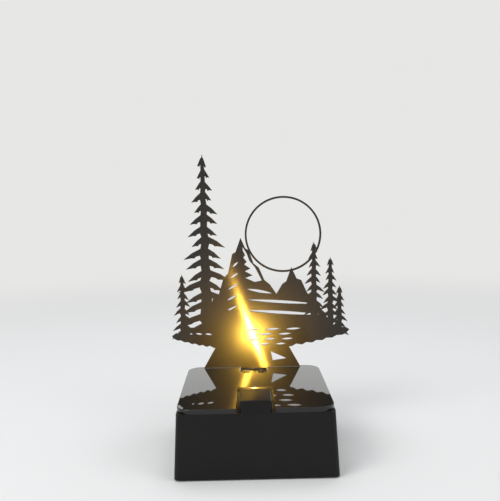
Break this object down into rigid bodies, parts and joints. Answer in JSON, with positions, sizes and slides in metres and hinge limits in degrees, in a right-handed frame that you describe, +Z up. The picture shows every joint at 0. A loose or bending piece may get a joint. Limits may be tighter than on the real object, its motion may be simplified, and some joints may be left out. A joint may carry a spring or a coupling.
{
  "type": "led shadow lamp",
  "caption": "Battery lamp whose hooded LED shines up through a leaning cut-out metal picture and throws its shadow on the wall behind.",
  "frame": {"origin": "middle of the base box, on the plane that the rubber feet rest on", "axes": "+Z up, the front with the light hood looks along -Y, +X to the right as seen from the front"},
  "size_m": [0.136, 0.104, 0.2082],
  "materials": {
    "black_abs": "fine spark texture, satin",
    "hood_abs": "smooth satin",
    "black_acrylic": "mirror gloss, polished edges",
    "black_steel": "brushed satin black, laser-cut edges",
    "screw_steel": "zinc-plated",
    "nickel_strip": "nickel-plated",
    "circuit_board": "white solder mask",
    "lamp_epoxy": "clear warm-white epoxy",
    "chip_ceramic": "glazed",
    "switch_nylon": "semi-gloss",
    "foot_rubber": "matte",
    "cell_jacket": "printed jacket, plain",
    "red_insulation": "satin",
    "black_insulation": "satin"
  },
  "bodies": {
    "base": {"base_housing": "black_abs", "top_sheet": "black_acrylic", "silhouette_panel": "black_steel", "panel_screws": "screw_steel", "led_hood": "hood_abs", "hood_screws": "screw_steel", "led_board": "circuit_board", "led_lamp": "lamp_epoxy", "led_leads": "nickel_strip", "led_resistor": "chip_ceramic", "bottom_cover": "black_abs", "cover_screws": "screw_steel", "positive_contact": "nickel_strip", "link_contact_right": "nickel_strip", "link_contact_left": "nickel_strip", "negative_contact": "nickel_strip", "switch_body": "switch_nylon", "switch_terminals": "nickel_strip", "rubber_feet": "foot_rubber", "battery_1": "cell_jacket", "battery_2": "cell_jacket", "battery_3": "cell_jacket", "switch_lead": "red_insulation", "lamp_lead": "red_insulation", "return_lead": "black_insulation"},
    "switch_rocker": {"switch_rocker": "switch_nylon"},
    "battery_door": {"battery_door": "black_abs"}
  },
  "joints": [
    {"name": "switch_rock", "type": "hinge", "parent": "base", "child": "switch_rocker", "pos_m": [0.026, 0.0462, 0.024], "axis": [1, 0, 0], "range_deg": [-20, 0]},
    {"name": "door_hinge", "type": "hinge", "parent": "base", "child": "battery_door", "pos_m": [0, 0.01795, 0.002], "axis": [1, 0, 0], "range_deg": [0, 100]}
  ]
}
